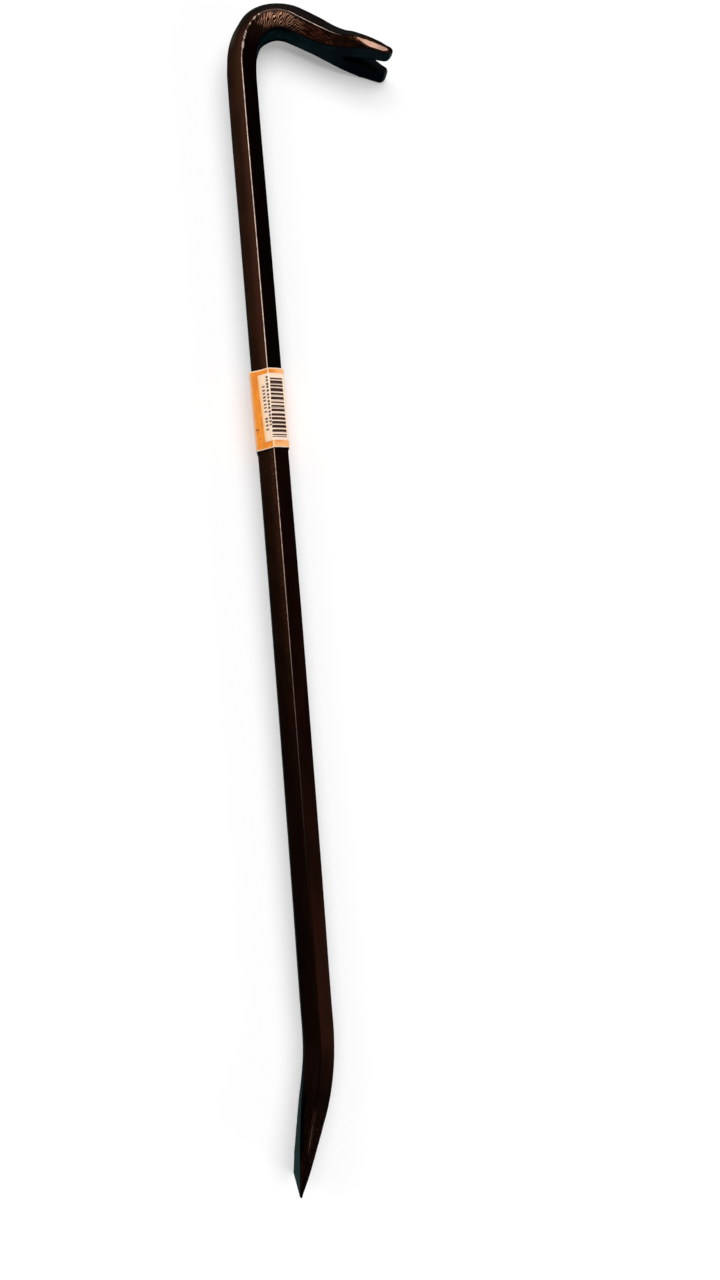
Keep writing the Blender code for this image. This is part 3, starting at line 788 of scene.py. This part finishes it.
# Wear: a thin bright line along the ridge, patches rubbed bare where the neck starts, the leaf shaped ground
# side of each tine with rust specks beside it, and the crests of the folds.
gapped = place.scaled(0.0, 0.25, 0.0).cloud(2.0).rise(0.35, 0.6)
thinner = 0.10 * arm + 0.07 * blade + 0.08 * reach_mm.rise(230.0, 310.0)
line = (on_ridge + (flecks - 0.5) * 0.25 - thinner).rise(0.16, 0.29) * line_strength * (0.6 + 0.4 * gapped)
frayed = (flecks - 0.5) * 1.6 + (grain - 0.5) * 0.9
patch = None
for middle, half_length, half_width in PATCHES:
    lengthwise = (reach_mm + off_ridge * 0.5 - middle) / half_length
    crosswise = (off_ridge + 0.15) / half_width
    spot = (lengthwise * lengthwise + crosswise * crosswise + frayed).rise(1.05, 0.80)
    patch = spot if patch is None else patch.most(spot)
leaf_outer = past_outer_mm - 0.70 - 0.35 * reach_mm.rise(5.0, 9.0)
leaf_outer = leaf_outer - 0.60 * reach_mm.rise(11.0, 15.0) + 1.35 * reach_mm.rise(16.0, 20.5)
leaf_inner = past_inner_mm - 0.10 - 0.45 * reach_mm.rise(12.0, 14.5)
leaf_inner = leaf_inner + 0.25 * reach_mm.rise(18.5, 20.5) - 0.50 * reach_mm.rise(5.4, 3.4)
leaf_edge = leaf_inner.least(leaf_outer) - 1.9 * reach_mm.rise(3.7, 1.0) + (flecks - 0.5) * 0.20
leaf = leaf_edge.rise(0.20, 0.40) * reach_mm.rise(1.4, 2.0)
ground = place.scaled(3.0, 0.12, 3.0).cloud(3.0, 0.6)
dimmer = reach_mm.rise(10.0, 6.0) * 0.45 + reach_mm.rise(14.5, 19.0) * 0.45
ground_steel = (ground.rise(0.3, 0.7) * 0.5 + dimmer).mixed(GROUND, GROUND_PINK)
speckle = (reach_mm.band(17.0, 25.0, 2.0) * past_inner_mm.band(-1.5, 1.0, 0.6)) * flecks.rise(0.53, 0.63)
crest = (fold_height + (flecks - 0.5) * 0.40 + (grain - 0.5) * 0.50).rise(0.32, 0.90)
near_ridge = past_inner_mm.rise(-7.5, -1.5)

# The brown lacquer of the flanks, from the even coat to what has worn, gathered or rusted on it, with painted
# light and shade laid over it.
on_arm_back = arm * past_outer_mm.rise(0.2, -0.2)
# Painted light and handling polish: a lighter brown on the outer flank near the ridge, the flank that faces
# the lamps, more of it up the shaft.
lit_and_handled = outer_side * (0.75 + 0.5 * (streaks - 0.5)) * (0.30 + 0.70 * along_mm.rise(140.0, 380.0))
blade_rub = off_ridge.size().rise(1.5, 0.3) * along_mm.band(18.0, 43.0, 8.0)
under_ridge = reach_mm.band(50.0, 80.0, 12.0) * past_inner_mm.rise(-3.4, -1.0) * inner_side
fold_wear = crest * bend * inner_side * (0.35 + 0.65 * near_ridge) * uneven_wear.rise(0.15, 0.50)
fold_wear = fold_wear * (1.0 - 0.55 * reach_mm.rise(69.0, 76.0) - 0.35 * reach_mm.rise(66.0, 58.0))
margin = past_inner_mm.rise(-5.8, -7.6).most(past_inner_mm.rise(-3.0, -5.5) * reach_mm.rise(74.0, 82.0))
# A painted highlight: an olive strip on the outer flank along its rounded back edge, on the neck and the
# bend.
outer_rim_highlight = past_outer_mm.rise(-3.5, -6.5) * reach_mm.band(54.0, 98.0, 8.0)
reddish = 0.35 + 0.35 * streaks.rise(0.45, 0.70) + 0.3 * tint.rise(0.5, 0.7)
maroon = inner_side * along_mm.band(38.0, 400.0, 60.0) * reddish
rusty = (flecks + (grain - 0.5) * 0.4).rise(0.54, 0.68)
rust_fleck = past_outer_mm.band(-2.4, 0.1, 0.7) * reach_mm.band(240.0, 470.0, 70.0) * rusty
dull_ridge = (reach_mm.rise(330.0, 460.0) * 0.8).most(arm * 0.9)
# Painted shade: the blade's outer flank darkened near its back edge.
back_edge_shade = near_mm.rise(2.8, 1.8) * past_outer_mm.rise(-2.0, -3.0) * blade
brown = layered(
    (clouds + (grain - 0.5) * 0.3).rise(0.3, 0.7).mixed(DEEP_BLACK, BLACK),
    (streaks.rise(0.50, 0.75) * 0.25, BROWN),
    (lit_and_handled, LIT_AND_HANDLED_BROWN),
    (tint.rise(0.45, 0.70) * 0.6 * (1.0 - inner_side), OLIVE_BLACK),
    (on_arm_back * (0.2 + 0.6 * streaks), ARM_BROWN),
    (on_arm_back * near_mm.rise(1.3, 0.5) * 0.8, DULL_BLACK),
    # Painted shade: the inner flank of the neck and shaft, which faces away from the lamps, darkened.
    (inner_side * reach_mm.rise(80.0, 94.0) * reach_mm.rise(330.0, 240.0) * 0.9, PAINTED_SHADE_BLACK),
    (inner_side * heel * 0.60, DULL_BLACK),
    (blade * 0.9, DULL_BLACK),
    (along_mm.rise(47.0, 36.0) * (crackle + (grain - 0.5) * 0.25).rise(0.50, 0.64) * 0.45, BROWN),
    (blade_rub * (0.35 + 0.5 * streaks), BROWN),
    # Painted shade: the arm's inner flank darkened under its red-brown streaks.
    (arm * inner_side * 0.85, PAINTED_SHADE_BLACK),
    (crest * arm * inner_side * (0.6 + 0.4 * uneven_wear), RED_BROWN),
    # Painted shade: the bend's inner flank darkened, so the folds' valleys look shaded below their rubbed
    # crests.
    (bend * inner_side * 0.70, PAINTED_SHADE_BLACK),
    # A painted sheen: a lighter band on the bend's inner flank just under the ridge, stronger on the fold
    # crests.
    (under_ridge * (0.35 + 0.45 * crest), PAINTED_SHEEN),
    (fold_wear, RUBBED),
    # Painted shade: the inner flank darkened near the inner flat's edge.
    (margin * inner_side * reach_mm.band(34.0, 98.0, 8.0) * 0.85, PAINTED_SHADE_BLACK),
    (outer_rim_highlight * (0.6 + 0.4 * streaks), OLIVE_RIM_HIGHLIGHT),
    (maroon * 0.8, MAROON),
    (rust_fleck * 0.30, RUST),
    (on_ridge.rise(-0.5, 0.15) * dull_ridge, DULL_BLACK),
    (back_edge_shade, RIM_AND_SHADE_BLACK),
)

# The flats' blue-teal, a painted reflection on the same black lacquer, greyer on the blade and the tips,
# darker along the claw's rims and at its root, with painted shade on the lower tine and along the bend's
# rims.
# Painted shade: the lower tine, near the floor in the bar's shadow, is darkened.
shaded_low_tine = up_mm.rise(14.0, 8.0) * reach_mm.rise(27.0, 22.0)
murk = place.scaled(0.16, 0.13, 0.16).cloud(3.0, 0.6)
claw_rim = near_mm.rise(1.5, 0.4) * reach_mm.rise(27.0, 21.0) * 0.8
# Painted shade: the inner flat darkened along its rims on the bend.
bend_rim = near_mm.rise(3.0, 1.2) * reach_mm.band(50.0, 92.0, 8.0) * 0.8
claw_root = reach_mm.band(16.0, 34.0, 7.0) * 0.5
even_blue = (murk + (flecks - 0.5) * 0.25).rise(0.25, 0.75) * (1.0 - 0.85 * shaded_low_tine)
blue = layered(
    even_blue.mixed(DEEP_BLUE, BLUE_BLACK),
    (blade * (0.75 + 0.5 * (streaks - 0.5)), TEAL_GREY),
    ((flecks + (streaks - 0.5) * 0.8).rise(0.50, 0.75) * blade * 0.5, END_GREY),
    (reach_mm.rise(56.0, 26.0) * 0.8, NAVY),
    ((shaded_low_tine * 0.7).most(claw_rim).most(bend_rim).most(claw_root), RIM_AND_SHADE_BLACK),
    (reach_mm.rise(1.6, 0.5) * (0.4 + 0.7 * flecks), END_GREY),
)
edge_rub = (near_mm + (flecks - 0.5) * 0.5).rise(0.30, 0.05) * reach_mm.rise(34.0, 10.0)
tone = layered(
    on_flat.mixed(brown, blue),
    (speckle * 0.6, RUST),
    (edge_rub * 0.25 * (1.0 - shaded_low_tine), BROWN),
    ((line * 0.85).most(patch * 0.42), BARE),
    (leaf, ground_steel),
)
worn = line.most(patch).most(leaf)
glance = ink.node("ShaderNodeLayerWeight", {}, {"Blend": 0.5}, output="Facing").rise(0.55, 0.88)
dullness = 0.30 + 0.10 * streaks + 0.10 * flecks + 0.10 * bend + 0.14 * heel
relief = grain * 0.05 + streaks * 0.05 + crackle * (bend * 0.5 + arm * 0.3 + 0.05)
relief = relief + flecks * (arm * 0.25 + blade * 0.35) + worn * 0.04
finish_surface(
    lacquer,
    {
        "Base Color": tone,
        "Metallic": 1.0,
        "Roughness": dullness - 0.04 * worn + 0.35 * glance,
        "Specular Tint": (0.40, 0.48, 0.50),
        "Normal": relief.bump(0.6, 0.00022),
    },
)

bar = new_piece("bar", bar_points, faces, lacquer)
give(bar, "place", around * 1000, distance * 1000, bar_points[:, 2] * 1000)
give(bar, "edges", past_inner * 1000, past_outer * 1000, near_edge * 1000)
give(bar, "rubs", fold, ridge_rub, flat)
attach(bar, "root")
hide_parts("forged_bar")

# The band is a strip of orange printed paper, wrapped once round the shaft, its end glued over its start on
# the hidden side. It fits loosely, stands off the steel most along its left side, and sits a little askew.
BAND_LENGTH = 0.0416
SHAFT_SWELL, BAND_OFF_STEEL = 0.0002, 0.00055
BAND_PAPER, LAP_GAP = 0.00014, 0.00006
BAND_START, BAND_LAP = 4.211, 0.578  # in flats of the shaft
BAND_TILT = -0.00068
RAGGED = 0.0025  # of the band's length
LEFT_LIFT, LEFT_OPENING, UNDER_TUCK = 0.00062, 0.00055, 0.00030
RIGHT_LIFT, RIGHT_OPENING = 0.00015, 0.00025
COCKLE, CRINKLE = 0.00007, 0.00003
RIDGE_SOFT = 0.09  # the share of a flat over which the paper rounds a ridge
SIDE = RIDGE_HALF  # a hexagon's side is as long as its corner is far out
BAND_PLACE = ORIGIN + (smooth_profile(TOTAL - LABEL_CENTRE, BOW), LABEL_CENTRE, 0.0)
ORANGE = (0.92, 0.285, 0.018)
DEEP_ORANGE = (0.78, 0.22, 0.016)
PEACH = (0.96, 0.60, 0.30)
PALE = (0.98, 0.74, 0.50)
SPECK_BROWN = (0.06, 0.012, 0.004)
SPECKS = ((31.7, 10.9, 0.40), (31.0, 10.7, 0.34), (30.4, 6.0, 0.24), (31.0, 14.5, 0.15))


def round_the_shaft(turns, reach, soft):
    """Points on a soft hexagon. Turns count flats from the inner upper corner, reach is the distance of the
    flats from the axis. Within soft of a corner the path is a parabola from one side to the next, and
    elsewhere the sides are straight."""
    corner = np.round(turns)
    past = turns - corner
    after = np.where(np.abs(past) < soft, (soft + past) ** 2 / (4 * soft), np.maximum(past, 0))
    before = np.where(np.abs(past) < soft, (soft - past) ** 2 / (4 * soft), np.maximum(-past, 0))
    angle = np.radians(30 + 60 * corner)
    turn = math.radians(60)
    angles = [angle + step * turn for step in (0, 1, -1)]
    here, next_one, last_one = (np.stack([np.cos(a), np.sin(a)]) for a in angles)
    return (here + (next_one - here) * after + (last_one - here) * before) * reach * 2 / math.sqrt(3)


def sheet_faces(rows, columns):
    """The quads of a grid of points."""
    numbers = np.arange(rows * columns).reshape(rows, columns)
    corners = [numbers[:-1, :-1], numbers[1:, :-1], numbers[1:, 1:], numbers[:-1, 1:]]
    return np.stack(corners, axis=-1).reshape(-1, 4).tolist()


def near_turn(turns, middle, spread):
    """1 at the given turn and falling away on a bell curve, counted the short way round the six flats."""
    return np.exp(-(((turns - middle + 3) % 6 - 3) ** 2) / spread)


def on_shaft(turns, up, above):
    """Paper points at a turn and a height from 0 to 1 up the band, this far above its loose fit. The fit
    swells out on bell curves at the left and the right, draws in underneath, and waves with two noises."""
    lift = (LEFT_LIFT + LEFT_OPENING * up) * near_turn(turns, 1.95, 0.20)
    lift = lift - UNDER_TUCK * near_turn(turns, 3.1, 0.3)
    lift = lift + (RIGHT_LIFT + RIGHT_OPENING * up**2) * near_turn(turns, 0.0, 0.4)
    lift = lift + COCKLE * noise(turns * 1.7, up * 2.3, 0.5) + CRINKLE * noise(turns * 6.0, up * 9.0, 4.5)
    x, z = round_the_shaft(turns, STRAIGHT_HALF + SHAFT_SWELL + BAND_OFF_STEEL + lift + above, RIDGE_SOFT)
    past_ridge = np.radians(60) * (turns - 1)
    y = (up - 0.5) * BAND_LENGTH + BAND_TILT * (np.sin(past_ridge) + 0.3 * np.sin(2 * past_ridge))
    return np.stack([x, y, z], axis=-1) + BAND_PLACE


def thin_paper(piece, thickness):
    """Gives a sheet its thickness on the side of the steel."""
    wall = piece.modifiers.new("paper", "SOLIDIFY")
    wall.thickness = thickness
    wall.offset = -1.0


turns, up = np.meshgrid(np.linspace(BAND_START, BAND_START + 6 + BAND_LAP, 280), np.linspace(0, 1, 64))
over = np.clip((turns - BAND_START - 5.75) / 0.25, 0, 1)
ragged = RAGGED * noise(turns * 3.0, np.round(up) * 2.5, 0.3) * (2 * up - 1) ** 8
band_points = on_shaft(turns, up + ragged, (BAND_PAPER + LAP_GAP) * over * over * (3 - 2 * over))

orange_paper, ink = plain_surface("orange printed paper")
place = ink.told("place")
round_mm, up_mm = place.parts("XY")
fibre = place.scaled(2.5, 2.5, 1.0).cloud(3.0, 0.6)
cloudy = place.scaled(0.25, 0.18, 1.0).cloud(2.0)
scuffs = place.scaled(0.9, 0.35, 1.0).cloud(4.0, 0.65)
upper_ridge_mm, band_mm = (7 - BAND_START) * SIDE * 1000, BAND_LENGTH * 1000
rubbed_end = up_mm.rise(0.9, 0.2).most(up_mm.rise(band_mm - 0.9, band_mm - 0.2))
speck = None
for round_at, up_at, radius in SPECKS:
    across, along = (round_mm - round_at) / radius, (up_mm - up_at) / radius
    spot = (across * across + along * along + (fibre - 0.5) * 1.5).rise(1.1, 0.6)
    speck = spot if speck is None else speck.most(spot)
# Painted highlights: a pale peach along the band's left edge, where it turns away round the shaft, and on the
# right flank beside the ridge, most at the bottom.
left_edge_highlight = round_mm.band(31.5, 36.0, 1.0) * (0.4 + 0.5 * scuffs)
ridge_side_highlight = round_mm.rise(23.5, 15.5) * round_mm.rise(10.0, 15.0) * 0.55
ridge_side_highlight = ridge_side_highlight.most(round_mm.band(12.0, 24.6, 1.5) * up_mm.rise(4.2, 1.8) * 0.5)
# A painted highlight: a pale line along the upper ridge.
crease_highlight = (round_mm - upper_ridge_mm).size().rise(0.55, 0.15)
orange = layered(
    (cloudy + (fibre - 0.5) * 0.25).rise(0.35, 0.65).mixed(ORANGE, DEEP_ORANGE),
    ((scuffs.rise(0.60, 0.78) * 0.35).most(left_edge_highlight).most(ridge_side_highlight), PEACH),
    (rubbed_end.most(crease_highlight * 0.8), PALE),
    (speck, SPECK_BROWN),
)
finish_surface(
    orange_paper,
    {
        "Base Color": orange,
        "Roughness": 0.46 + 0.14 * fibre,
        "Specular IOR Level": 0.25,
        "Normal": (fibre + cloudy + scuffs).bump(0.25, 0.0001),
    },
)
band = new_piece("paper_band", band_points.reshape(-1, 3), sheet_faces(*turns.shape), orange_paper)
give(band, "place", (turns - BAND_START) * SIDE * 1000, up * BAND_LENGTH * 1000, over)
thin_paper(band, BAND_PAPER)
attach(band, "root")
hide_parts("label_band")

# The bar code label is a cream sticker on the band, from the inner flat across the right flank and over the
# ridge, stuck on a little askew. Its bars and dashes come from a formula and stand for no code or words.
STICKER_LENGTH, STICKER_RAISED = 0.0352, 0.0004
STICKER_PAPER, GLUE_GAP = 0.00008, 0.00002
STICKER_RIGHT, STICKER_LEFT_LOW, STICKER_LEFT_HIGH = -0.30, 1.48, 1.61  # in flats of the shaft
CREAM, PINK_CREAM, CREASE_HIGHLIGHT = (0.97, 0.74, 0.54), (0.94, 0.70, 0.57), (1.0, 0.84, 0.66)
BAR_INK = (0.020, 0.003, 0.005)

share, up = np.meshgrid(np.linspace(0, 1, 140), np.linspace(0, 1, 60))
left = STICKER_LEFT_LOW + (STICKER_LEFT_HIGH - STICKER_LEFT_LOW) * up
turns = STICKER_RIGHT + (left - STICKER_RIGHT) * share
up_band = (up - 0.5) * STICKER_LENGTH / BAND_LENGTH + 0.5 + STICKER_RAISED / BAND_LENGTH
sticker_points = on_shaft(turns, up_band, STICKER_PAPER + GLUE_GAP)

cream_paper, ink = plain_surface("cream printed paper")
place = ink.told("place")
turn, up_mm = place.parts("XY")
up_share = up_mm / (STICKER_LENGTH * 1000)
left_turn = STICKER_LEFT_LOW + (STICKER_LEFT_HIGH - STICKER_LEFT_LOW) * up_share
from_left_mm = (left_turn - turn) * (SIDE * 1000)


def printed_bars(up_mm, pitch, thin, thick, seed):
    """One bar in each step of the pitch, its width and place drawn at random for that step."""
    step = (up_mm / pitch).maths("FLOOR", up_mm / pitch)
    inside = up_mm / pitch - step
    width, shift = (
        step.node("ShaderNodeTexWhiteNoise", {"noise_dimensions": "1D"}, {"W": step + start})
        for start in (seed, seed + 50.5)
    )
    half = (thin + (thick - thin) * width) / (2 * pitch)
    return (half - (inside - 0.38 - 0.24 * shift).size()).rise(-0.03, 0.04)


wide_bars = printed_bars(up_mm, 2.10, 0.70, 1.65, 3.0)
thin_bars = printed_bars(up_mm + 0.90, 2.10, 0.10, 0.45, 11.0)
left_end = (0.90 + 0.14 * (1.0 - up_share) - turn).rise(-0.005, 0.005)
right_end = (turn - 0.12 - 0.03 * up_share).rise(-0.005, 0.005)
bars = wide_bars.most(thin_bars * 0.85) * left_end * right_end * up_mm.band(1.6, 33.6, 0.05)
tick_row = (turn - 0.035 * up_share).band(1.000, 1.140, 0.01)
ticks = printed_bars(up_mm, 1.80, 0.90, 1.35, 21.0) * tick_row * up_mm.band(8.0, 33.8, 0.1)
dash_row = (turn - 0.09 * up_share).band(1.185, 1.350, 0.012)
dashes = printed_bars(up_mm, 1.85, 0.75, 1.15, 31.0) * dash_row
dashes = dashes * up_mm.band(5.0, 30.0, 0.1) * (1.0 - up_mm.band(13.2, 14.6, 0.1))
print_mask = bars.most(ticks * 0.95).most(dashes * 0.9)
fibre = place.scaled(2.5, 2.5, 2.5).cloud(3.0, 0.6)
patchy = place.scaled(0.0, 0.30, 0.22).cloud(3.0)
glue = place.scaled(0.0, 0.5, 0.9).cloud(4.0, 0.6)
pinkish = patchy.rise(0.42, 0.68).most(turn.rise(0.95, 0.85) * turn.rise(0.0, 0.15) * 0.7)
cream = layered(
    pinkish.mixed(CREAM, PINK_CREAM),
    # A painted highlight: a pale line along the ridge.
    ((turn - 1.0).size().rise(0.07, 0.02) * 0.6, CREASE_HIGHLIGHT),
    ((from_left_mm + (glue - 0.5) * 1.2).rise(1.7, 0.5), PEACH),
    (print_mask * (0.95 + 0.05 * fibre), BAR_INK),
)
finish_surface(
    cream_paper,
    {
        "Base Color": cream,
        "Roughness": 0.55 + 0.12 * fibre,
        "Specular IOR Level": 0.03,
        "Normal": (fibre + glue - print_mask * 0.2).bump(0.25, 0.0001),
    },
)
sticker = new_piece("bar_code_sticker", sticker_points.reshape(-1, 3), sheet_faces(*turns.shape), cream_paper)
give(sticker, "place", turns, up * STICKER_LENGTH * 1000, turns * SIDE * 1000)
thin_paper(sticker, STICKER_PAPER)
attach(sticker, "root")
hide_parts("barcode_label")
